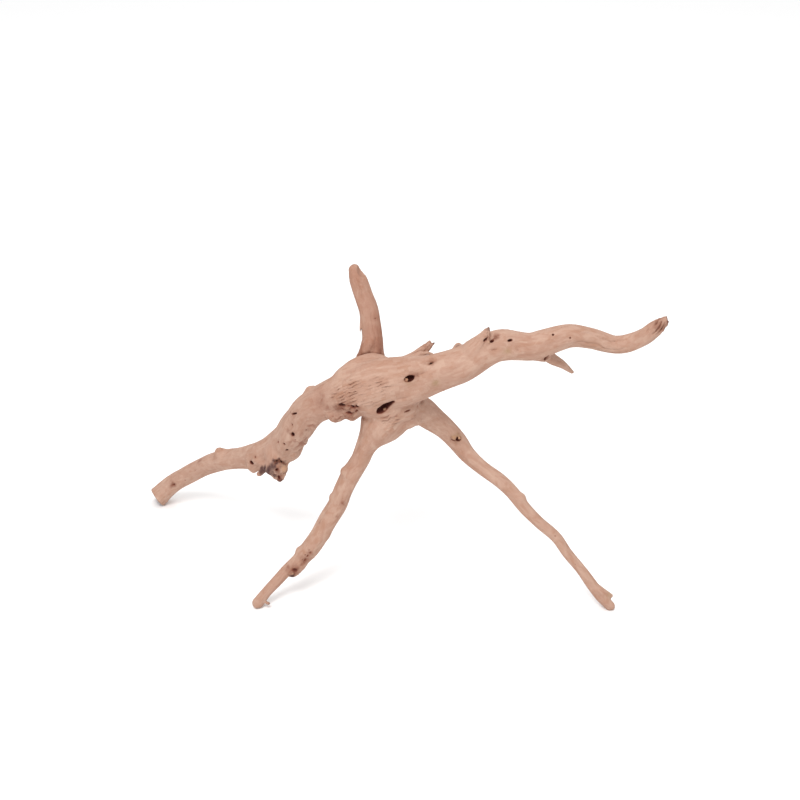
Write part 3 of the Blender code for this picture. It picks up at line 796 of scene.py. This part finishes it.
    def grain_in_block(self, points, middle):
        """Places in the main limb's grain and in a side limb's, and how far the side one rules."""
        reach = BLOCK * HALF_DIAGONAL + GRAIN_REACH
        found = np.zeros((len(points), 7))
        nearest = [np.full(len(points), 40.0), np.full(len(points), 40.0)]
        for slot, limbs in enumerate(([self.main_grain], self.side_grains)):
            for limb in limbs:
                pieces = limb.pieces_near(middle, reach)
                if not len(pieces):
                    continue
                distance, _, place = limb.look(points, pieces)
                closer = distance < nearest[slot]
                nearest[slot] = np.where(closer, distance, nearest[slot])
                columns = slice(slot * 3, slot * 3 + 3)
                found[:, columns] = np.where(closer[:, None], place + limb.seed * 50, found[:, columns])
        lead = (nearest[0] - nearest[1]) / 7.0
        found[:, 6] = np.clip(0.5 + lead, 0, 1)
        return found

    def grain(self, points):
        return self.by_block(points, self.grain_in_block, 7)


def folds(points):
    """Low folds that lie over each other like scales: their height, and the painted shade of the crease
    below each.
    """
    place = points @ FOLD_AXES.T
    sway = value_noise(points / 8.0, 15) * 0.55 + value_noise(points / 2.4, 14) * 0.34
    rise = place[:, 1] / FOLD_PITCH + sway
    row = np.floor(rise)
    share = rise - row
    along = np.stack((place[:, 0] / FOLD_LENGTH, row * 7.3 + 0.5, place[:, 2] / FOLD_DEPTH), 1)
    strength = np.clip(0.64 + 1.1 * value_noise(along, 16), 0, 1)
    step = np.clip(share / FOLD_FRONT, 0, 1)
    height = np.where(share < FOLD_FRONT, step * step * (3 - 2 * step), (1 - share) / FOLD_BACK)
    crease_shade = np.exp(-((np.minimum(share, 1 - share + 0.08) - 0.05) / CREASE_WIDTH) ** 2)
    return height * strength, crease_shade * strength


def ellipsoid(points, centre, axes, sizes):
    """Near distance from a stretched ball."""
    local = (points - centre) @ axes.T
    near = np.linalg.norm(local / sizes, axis=1) + 1e-6
    steep = np.linalg.norm(local / sizes ** 2, axis=1) + 1e-6
    return near * (near - 1) / steep


# The mesh drawn on the field

CORNERS = np.array(list(np.ndindex(2, 2, 2)))
EDGES = [
    (a, b) for a in range(8) for b in range(a + 1, 8) if np.abs(CORNERS[a] - CORNERS[b]).sum() == 1
]


def surface_cells(root, low, high):
    """The small cells along the surface, found by halving the coarse ones that it crosses."""
    size = FINE_CELL * 2 ** COARSE_HALVINGS
    counts = np.ceil((high - low) / size).astype(int)
    cells = np.array(list(np.ndindex(*counts)))
    for _ in range(COARSE_HALVINGS):
        distance = root.carved(low + (cells + 0.5) * size, fine=False)
        cells = cells[np.abs(distance) < size * HALF_DIAGONAL + RELIEF]
        cells = (cells[:, None, :] * 2 + CORNERS[None]).reshape(-1, 3)
        size /= 2
    return cells


def pack_key(cells):
    """One whole number for each cell, made of its three counts."""
    x, y, z = (cells[..., axis] + KEY_SHIFT for axis in range(3))
    return (x * KEY_BASE + y) * KEY_BASE + z


def unpack_key(keys):
    upper = keys // KEY_BASE
    return np.stack((upper // KEY_BASE, upper % KEY_BASE, keys % KEY_BASE), 1) - KEY_SHIFT


def surface_mesh(root, low, high):
    """Points inside the crossed cells, joined across every crossed cell edge."""
    cells = surface_cells(root, low, high)
    corner_keys = pack_key(cells[:, None, :] + CORNERS[None]).ravel()
    keys, inverse = np.unique(corner_keys, return_inverse=True)
    values = root.carved(low + unpack_key(keys) * FINE_CELL)
    corner = values[inverse].reshape(-1, 8)
    crossed = (corner.min(1) < 0) & (corner.max(1) >= 0)
    cells, corner = cells[crossed], corner[crossed]
    order = np.argsort(pack_key(cells))
    cells, corner = cells[order], corner[order]
    total, count = np.zeros((len(cells), 3)), np.zeros(len(cells))
    for a, b in EDGES:
        first, second = corner[:, a], corner[:, b]
        cut = (first < 0) != (second < 0)
        share = np.where(cut, first / np.where(cut, first - second, 1), 0)[:, None]
        total += np.where(cut[:, None], CORNERS[a] + share * (CORNERS[b] - CORNERS[a]), 0)
        count += cut
    points = low + (cells + total / count[:, None]) * FINE_CELL
    cell_keys = pack_key(cells)
    quads = []
    for axis in range(3):
        step_u, step_v = np.eye(3, dtype=int)[[(axis + 1) % 3, (axis + 2) % 3]]
        ahead = corner[:, 4 >> axis]
        cut = (corner[:, 0] < 0) != (ahead < 0)
        ring = [cells[cut] - step_u - step_v, cells[cut] - step_v, cells[cut], cells[cut] - step_u]
        found = [np.searchsorted(cell_keys, pack_key(c)).clip(0, len(cells) - 1) for c in ring]
        whole = np.all([cell_keys[f] == pack_key(c) for f, c in zip(found, ring)], axis=0)
        quad = np.stack(found, 1)[whole]
        outward = (corner[cut, 0] < 0)[whole]
        quads.append(np.where(outward[:, None], quad, quad[:, ::-1]))
    return points, np.vstack(quads)


def mesh_from(name, points, quads):
    """A mesh of four-sided faces."""
    mesh = bpy.data.meshes.new(name)
    mesh.vertices.add(len(points))
    mesh.vertices.foreach_set("co", points.astype(np.float32).ravel())
    mesh.loops.add(quads.size)
    mesh.loops.foreach_set("vertex_index", quads.astype(np.int32).ravel())
    mesh.polygons.add(len(quads))
    mesh.polygons.foreach_set("loop_start", np.arange(0, quads.size, 4, dtype=np.int32))
    mesh.update(calc_edges=True)
    return mesh


def detail_at(root, points):
    """Where small faces are worth most: folds, rough wood, hollows and grooves."""
    places = [(middle, radius) for middle, radius, _ in WRINKLED_PLACES[:6] + ROUGH_PLACES]
    places += [(centre, sizes[0] + 2.5) for centre, _, sizes in root.hollows]
    places += [(start, 2.5) for start in root.grooves[::2, :3]]
    return near_any(points, places)


def fewer_faces(thing, most, detail):
    """Merge the flattest faces until few enough are left, and keep more where there is detail."""
    count = len(thing.data.polygons) * 2
    if count <= most:
        return
    plain = thing.vertex_groups.new(name="plain")
    levels = np.round(np.clip(detail * 2, 0, 1) * DETAIL_LEVELS).astype(int)
    for level in np.unique(levels):
        weight = 1.0 - DETAIL_STEP * float(level)
        plain.add(np.nonzero(levels == level)[0].tolist(), weight, "REPLACE")
    step = thing.modifiers.new("fewer faces", "DECIMATE")
    step.ratio = most / count
    step.vertex_group = "plain"
    step.vertex_group_factor = DETAIL_PULL
    graph = bpy.context.view_layer.depsgraph
    graph.update()
    slim = bpy.data.meshes.new_from_object(thing.evaluated_get(graph))
    thing.modifiers.clear()
    thing.data = slim
    thing.vertex_groups.clear()


def keep_values(mesh, name, values):
    """Store one number or one vector for each point of the mesh."""
    kind = "FLOAT" if values.ndim == 1 else "FLOAT_VECTOR"
    layer = mesh.attributes.new(name, kind, "POINT")
    part = "value" if kind == "FLOAT" else "vector"
    layer.data.foreach_set(part, values.astype(np.float32).ravel())


def read_vectors(mesh, name):
    """One vector of each point of the mesh, as rows."""
    values = np.empty(len(mesh.vertices) * 3, np.float32)
    mesh.vertices.foreach_get(name, values)
    return values.reshape(-1, 3)


def near_any(points, places, crisp=1):
    """How near each point is to any of the places, from 0 to 1, or to the place's own share."""
    total = np.zeros(len(points))
    for middle, radius, *share in places:
        weight = np.exp(-(((points - middle) ** 2).sum(1) / radius ** 2) ** crisp)
        total = np.maximum(total, weight * (share[0] if share else 1))
    return total


def keep_finish_values(root, mesh):
    """What the finish needs to know at each point: grain, hollows, valleys, stains, and where shade is
    painted into valleys, creases, hollows and round them.
    """
    points = read_vectors(mesh, "co") / MM + BOX_MIDDLE
    normals = read_vectors(mesh, "normal")
    grain = root.grain(points)
    # How deep each point lies in a valley, which the finish darkens as painted shade, and how far it
    # stands out on a ridge, which it lightens as wear
    valley_shade = 1 - root.carved(points + normals * VALLEY_REACH) / VALLEY_REACH
    ridge = 1 + root.carved(points - normals * VALLEY_REACH) / VALLEY_REACH
    sawn = np.clip(1.6 - np.abs((points - SAW_POINT) @ SAW_FACING) * 2.2, 0, 1)
    sway = np.stack([value_noise(points / 2.2, seed) for seed in (43, 44, 45)], 1)
    # A ring round each hollow, which the finish darkens as painted shade
    rims = [(centre, sizes[1] * 1.5 + 0.8) for centre, _, sizes in root.hollows]
    beads = [shown * np.clip((radius + 0.5 - np.linalg.norm(points - place, axis=1)) / 0.35, 0, 1)
             for *place, radius, shown in BEADS]
    kept = {
        "main_grain": grain[:, 0:3],
        "side_grain": grain[:, 3:6],
        "side_share": grain[:, 6],
        # How deep each point lies in a hollow: the finish paints darker wood there and deepens it with
        # painted shade
        "hollow": np.clip((-root.weathered(points) - HOLLOW_START) / HOLLOW_RANGE, 0, 1),
        # Painted shade in the valleys
        "valley_shade": np.clip(valley_shade, 0, 1),
        "ridge": np.clip(ridge, 0, 1),
        "sawn": sawn * (points[:, 2] < 40),
        "rough": near_any(points, [(middle, radius) for middle, radius, _ in ROUGH_PLACES]),
        # Ruddy wood, and painted shade under the body and on the twig under the arm
        "ruddy": near_any(points, RUDDY_PLACES),
        # Brown stains, and painted shade at the twig's foot and round the craters
        "brown": near_any(points + sway * 1.6, BROWN_PLACES, 1.5),
        # Dusky torn wood, and painted shade on the burl's undercut and the nub's shaded side
        "dusky": near_any(points + sway * 1.2, DUSKY_PLACES, 2.5),
        "olive": near_any(points, OLIVE_PLACES),
        # Painted shade round each hollow
        "rim": near_any(points, rims),
        # Painted shade in the creases under the folds and the bottoms of the grooves
        "crease_shade": root.creases(points),
        "bead": np.max(beads, axis=0),
    }
    for name, values in kept.items():
        keep_values(mesh, name, values)


def make_root():
    root = Root()
    points, quads = surface_mesh(root, SEARCH_LOW, SEARCH_HIGH)
    mesh = mesh_from("weathered_root", (points - BOX_MIDDLE) * MM, quads)
    thing = bpy.data.objects.new("weathered_root", mesh)
    bpy.context.scene.collection.objects.link(thing)
    fewer_faces(thing, MOST_FACES, detail_at(root, points))
    thing.data.shade_smooth()
    keep_finish_values(root, thing.data)
    return thing


# Finish

STUDIO_LIGHT = (1.38, 1.37, 1.31)

# Tones as they should look in the studio, in the usual 0 to 255 scale
TONES = {
    "tan": (196, 154, 131), "light tan": (203, 164, 141),
    "warm blotch": (188, 141, 114), "pale blotch": (213, 176, 152),
    "brown mottle": (181, 132, 105), "pale mottle": (215, 179, 155),
    "dark streak": (172, 124, 100), "pale streak": (212, 178, 154), "dark fibre": (160, 114, 92),
    # The ruddy, brown and dusky tones also serve as painted shade; crease, valley and rim are painted
    # shade, and the two hollow tones are darker wood with painted shade
    "ruddy": (158, 98, 72), "brown": (136, 80, 57), "olive": (170, 140, 98),
    "worn ridge": (216, 182, 158), "torn wood": (150, 98, 76), "dusky": (76, 45, 43),
    "crease_shade": (126, 74, 53), "valley_shade": (138, 84, 62), "rim": (146, 96, 74),
    "shallow hollow": (146, 86, 64), "deep hollow": (88, 34, 24), "bead": (206, 158, 122),
    "sawn wood": (200, 162, 134), "sawn ring": (166, 122, 96),
}

# Noise along the grain: how tightly it lies along and across, its detail and its warp
GRAIN_NOISES = {
    "drift": (0.018, 0.09, 2.0, 0.4),
    "streaks": (0.030, 0.55, 4.0, 0.6),
    "fibres": (0.16, 2.6, 3.0, 0.2),
    "mottle": (0.11, 0.22, 4.0, 0.8),
    "blotch": (0.07, 0.13, 3.0, 1.2),
}

# Layers over the plain wood: the noise, where in it the layer starts and is full, share and tone
GRAIN_LAYERS = (
    ("blotch", 0.47, 0.72, 0.70, "warm blotch"),
    ("blotch", 0.50, 0.28, 0.60, "pale blotch"),
    ("mottle", 0.50, 0.74, 0.60, "brown mottle"),
    ("mottle", 0.48, 0.28, 0.52, "pale mottle"),
    ("streaks", 0.50, 0.78, 0.24, "dark streak"),
    ("streaks", 0.42, 0.24, 0.20, "pale streak"),
    ("fibres", 0.55, 0.85, 0.25, "dark fibre"),
)

# Stored stains that the mottle breaks up, the brown and dusky ones partly painted shade: where in it they
# are thin and full, and both shares
STAINS_AND_SHADE = {
    "brown": (0.30, 0.70, 0.40, 0.90),
    "olive": (0.35, 0.60, 0.20, 0.75),
    "rough": (0.46, 0.60, 0.0, 0.75),
    "dusky": (0.25, 0.70, 0.75, 1.0),
}

# Shapes that show as a tone, worn ridges lighter and painted shade in creases and valleys: where their
# stored value starts to show and is full, and its share
SHADES = {
    "ridge": (0.30, 0.95, 0.35),
    "crease_shade": (0.10, 0.80, 0.85),
    "valley_shade": (0.15, 0.85, 0.65),
}
# How strongly the painted shade round each hollow shows
RIM_SHARE = 0.35
RIDGE_POLISH = -0.12
SHEEN = 0.30

# What raises the bump, and by how much
BUMP_SHARES = {"fibres": 0.6, "streaks": 0.9, "pores": 0.25, "mottle": 0.5}
BUMP = {"Strength": 0.55, "Distance": 0.0006}
PORES = {"Scale": 900.0, "Detail": 3.0}
SAWN_RINGS = {"Scale": 0.28, "Distortion": 2.5, "Detail": 3.0, "Detail Scale": 0.4}


def paint(name):
    """The paint that shows a named tone under the studio's light."""
    shown = [((c / 255 + 0.055) / 1.055) ** 2.4 for c in TONES[name]]
    return tuple(value / light for value, light in zip(shown, STUDIO_LIGHT)) + (1,)


class Nodes:
    """Short ways to add and join nodes in one tree."""

    def __init__(self, tree):
        self.tree = tree

    def add(self, kind, **settings):
        node = self.tree.nodes.new(kind)
        for name, value in settings.items():
            setattr(node, name, value)
        return node

    def join(self, source, target):
        self.tree.links.new(source, target)

    def feed(self, node, values):
        for name, value in values.items():
            if isinstance(value, bpy.types.NodeSocket):
                self.join(value, node.inputs[name])
            else:
                node.inputs[name].default_value = value

    def math(self, operation, first, second):
        node = self.add("ShaderNodeMath", operation=operation)
        self.feed(node, {0: first, 1: second})
        return node.outputs[0]

    def blend(self, share, first, second):
        node = self.add("ShaderNodeMix", data_type="RGBA")
        self.feed(node, {0: share, 6: first, 7: second})
        return node.outputs[2]

    def range(self, value, low, high, to_low=0.0, to_high=1.0):
        node = self.add("ShaderNodeMapRange", interpolation_type="SMOOTHSTEP")
        self.feed(node, {"Value": value, "From Min": low, "From Max": high,
                         "To Min": to_low, "To Max": to_high})
        return node.outputs[0]

    def stored(self, name, vector=False):
        node = self.add("ShaderNodeAttribute", attribute_name=name)
        return node.outputs["Vector" if vector else "Fac"]


def new_group(name, inputs, outputs):
    """A node group, the nodes in it, and where its values come in and go out."""
    group = bpy.data.node_groups.new(name, "ShaderNodeTree")
    for label, kind in inputs:
        group.interface.new_socket(label, in_out="INPUT", socket_type=kind)
    for label, kind in outputs:
        group.interface.new_socket(label, in_out="OUTPUT", socket_type=kind)
    nodes = Nodes(group)
    return group, nodes, nodes.add("NodeGroupInput"), nodes.add("NodeGroupOutput")


def along_grain_group():
    """Noise that is drawn out along the grain, of both limbs where two of them meet."""
    inputs = (("Main Grain", "NodeSocketVector"), ("Side Grain", "NodeSocketVector"),
              ("Side Share", "NodeSocketFloat"), ("Stretch", "NodeSocketVector"),
              ("Detail", "NodeSocketFloat"), ("Warp", "NodeSocketFloat"))
    group, nodes, start, end = new_group("along the grain", inputs, (("Value", "NodeSocketFloat"),))
    values = []
    for grain in ("Main Grain", "Side Grain"):
        stretched = nodes.add("ShaderNodeVectorMath", operation="MULTIPLY")
        nodes.feed(stretched, {0: start.outputs[grain], 1: start.outputs["Stretch"]})
        noise = nodes.add("ShaderNodeTexNoise")
        nodes.feed(noise, {"Vector": stretched.outputs[0], "Scale": 1.0, "Detail": start.outputs["Detail"],
                           "Roughness": 0.55, "Distortion": start.outputs["Warp"]})
        values.append(noise.outputs[0])
    mix = nodes.add("ShaderNodeMix", data_type="FLOAT")
    nodes.feed(mix, {0: start.outputs["Side Share"], 2: values[0], 3: values[1]})
    nodes.join(mix.outputs[0], end.inputs["Value"])
    return group


def grain_noise(nodes, group, along, across, detail, warp):
    node = nodes.add("ShaderNodeGroup", node_tree=group)
    nodes.feed(node, {
        "Main Grain": nodes.stored("main_grain", True), "Side Grain": nodes.stored("side_grain", True),
        "Side Share": nodes.stored("side_share"), "Stretch": (along, across, across),
        "Detail": detail, "Warp": warp,
    })
    return node.outputs[0]


def sawn_end_tone(nodes):
    """End grain: pale wood with faint rings round a darker heart."""
    rings = nodes.add("ShaderNodeTexWave", wave_type="RINGS", rings_direction="X")
    stretched = nodes.add("ShaderNodeVectorMath", operation="MULTIPLY")
    nodes.feed(stretched, {0: nodes.stored("main_grain", True), 1: (0.0, 1.0, 1.0)})
    nodes.feed(rings, {"Vector": stretched.outputs[0], **SAWN_RINGS})
    ring = nodes.range(rings.outputs[1], 0.2, 0.9)
    return nodes.blend(ring, paint("sawn wood"), paint("sawn ring"))


def wood_tone(nodes, noises):
    """The tones of the wood: its grain, then stains, ridges, creases and hollows in this order; the
    creases, valleys and rims are painted shade, the ruddy, brown and dusky tones are partly painted shade,
    and the hollows are darker wood with painted shade.
    """
    drift = nodes.range(noises["drift"], 0.34, 0.66)
    tone = nodes.blend(drift, paint("tan"), paint("light tan"))
    for noise, start, full, share, name in GRAIN_LAYERS:
        layer = nodes.range(noises[noise], start, full, 0.0, share)
        tone = nodes.blend(layer, tone, paint(name))

    def stain_and_shade(name):
        return nodes.math("MULTIPLY", nodes.stored(name), nodes.range(noises["mottle"], *STAINS_AND_SHADE[name]))

    def shade(name):
        start, full, share = SHADES[name]
        return nodes.range(nodes.stored(name), start, full, 0.0, share)

    marks = (
        (nodes.stored("ruddy"), paint("ruddy")),
        (stain_and_shade("brown"), paint("brown")),
        (stain_and_shade("olive"), paint("olive")),
        (shade("ridge"), paint("worn ridge")),
        (stain_and_shade("rough"), paint("torn wood")),
        (stain_and_shade("dusky"), paint("dusky")),
        (shade("crease_shade"), paint("crease_shade")),
        (shade("valley_shade"), paint("valley_shade")),
        (nodes.math("MULTIPLY", nodes.stored("rim"), RIM_SHARE), paint("rim")),
        (nodes.stored("sawn"), sawn_end_tone(nodes)),
        # The hollows: darker wood, with painted shade that grows with depth
        (nodes.range(nodes.stored("hollow"), 0.0, 0.35), paint("shallow hollow")),
        (nodes.range(nodes.stored("hollow"), 0.2, 0.8), paint("deep hollow")),
        (nodes.stored("bead"), paint("bead")),
    )
    for share, colour in marks:
        tone = nodes.blend(share, tone, colour)
    return tone


def wood_bump(nodes, noises):
    """Raised fibres, streaks, pores and mottle."""
    place = nodes.add("ShaderNodeTexCoord")
    pores = nodes.add("ShaderNodeTexNoise")
    nodes.feed(pores, {"Vector": place.outputs["Object"], **PORES})
    raised = {**noises, "pores": pores.outputs[0]}
    parts = [nodes.math("MULTIPLY", raised[name], share) for name, share in BUMP_SHARES.items()]
    height = parts[0]
    for part in parts[1:]:
        height = nodes.math("ADD", height, part)
    bump = nodes.add("ShaderNodeBump")
    nodes.feed(bump, {"Height": height, **BUMP})
    return bump.outputs[0]


def wood_finish():
    wood = bpy.data.materials.new("weathered_wood_finish")
    wood.use_nodes = True
    nodes = Nodes(wood.node_tree)
    shader = wood.node_tree.nodes["Principled BSDF"]
    group = along_grain_group()
    noises = {name: grain_noise(nodes, group, *row) for name, row in GRAIN_NOISES.items()}
    polish = nodes.range(noises["streaks"], 0.3, 0.7, 0.74, 0.92)
    worn = nodes.math("MULTIPLY", nodes.stored("ridge"), RIDGE_POLISH)
    nodes.feed(shader, {
        "Base Color": wood_tone(nodes, noises), "Roughness": nodes.math("ADD", polish, worn),
        "Normal": wood_bump(nodes, noises), "Specular IOR Level": SHEEN,
    })
    return wood


# Setting

PHOTO_SIZE = 800
LENS_MM = 85.0
SENSOR_MM = 36.0
CAMERA_DISTANCE = 1.45
CAMERA_TILT = math.radians(27.5)
CAMERA_AIM = Vector((0.0072, -0.04285, 0.1642))
FLOOR_HALF = 6.0
FLOOR_DROP = 0.0002
FLOOR_WHITE = (0.94, 0.94, 0.94, 1)
LIGHT_AIM = (0.0, 0.0, 0.12)
AIR_BRIGHTNESS = 0.85

# Lights: place, width and power
LIGHTS = {
    "key_light": ((-0.3, -1.25, 1.9), 0.8, 30.0),
    "top_light": ((0.2, 0.5, 2.0), 1.4, 8.0),
}


def add_camera():
    lens = bpy.data.cameras.new("photo_camera")
    lens.lens = LENS_MM
    lens.sensor_width = SENSOR_MM
    camera = bpy.data.objects.new("photo_camera", lens)
    bpy.context.scene.collection.objects.link(camera)
    back = Vector((0.0, -math.cos(CAMERA_TILT), math.sin(CAMERA_TILT)))
    camera.location = CAMERA_AIM + back * CAMERA_DISTANCE
    camera.rotation_euler = (math.pi / 2 - CAMERA_TILT, 0.0, 0.0)
    bpy.context.scene.camera = camera


def add_floor():
    mesh = bpy.data.meshes.new("studio_floor")
    corners = [(x * FLOOR_HALF, y * FLOOR_HALF, 0) for x, y in ((-1, -1), (1, -1), (1, 1), (-1, 1))]
    mesh.from_pydata(corners, [], [(0, 1, 2, 3)])
    floor = bpy.data.objects.new("studio_floor", mesh)
    floor.location.z = -FLOOR_DROP
    bpy.context.scene.collection.objects.link(floor)
    finish = bpy.data.materials.new("studio_floor")
    finish.use_nodes = True
    shader = finish.node_tree.nodes["Principled BSDF"]
    shader.inputs["Base Color"].default_value = FLOOR_WHITE
    shader.inputs["Roughness"].default_value = 0.9
    mesh.materials.append(finish)


def add_light(name, place, size, power):
    lamp = bpy.data.lights.new(name, "AREA")
    lamp.shape = "SQUARE"
    lamp.size = size
    lamp.energy = power
    light = bpy.data.objects.new(name, lamp)
    light.location = place
    light.rotation_euler = (Vector(LIGHT_AIM) - Vector(place)).to_track_quat("-Z", "Y").to_euler()
    bpy.context.scene.collection.objects.link(light)


def add_lights():
    for name, row in LIGHTS.items():
        add_light(name, *row)
    world = bpy.data.worlds.new("studio_air")
    world.use_nodes = True
    air = world.node_tree.nodes["Background"]
    air.inputs["Color"].default_value = (1, 1, 1, 1)
    air.inputs["Strength"].default_value = AIR_BRIGHTNESS
    bpy.context.scene.world = world


def set_picture_tones():
    bpy.context.scene.view_settings.view_transform = "Standard"


add_camera()
add_floor()
add_lights()
set_picture_tones()

root_piece = make_root()
root_piece.data.materials.append(wood_finish())
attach(root_piece, "root")
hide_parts("bogwood_root")
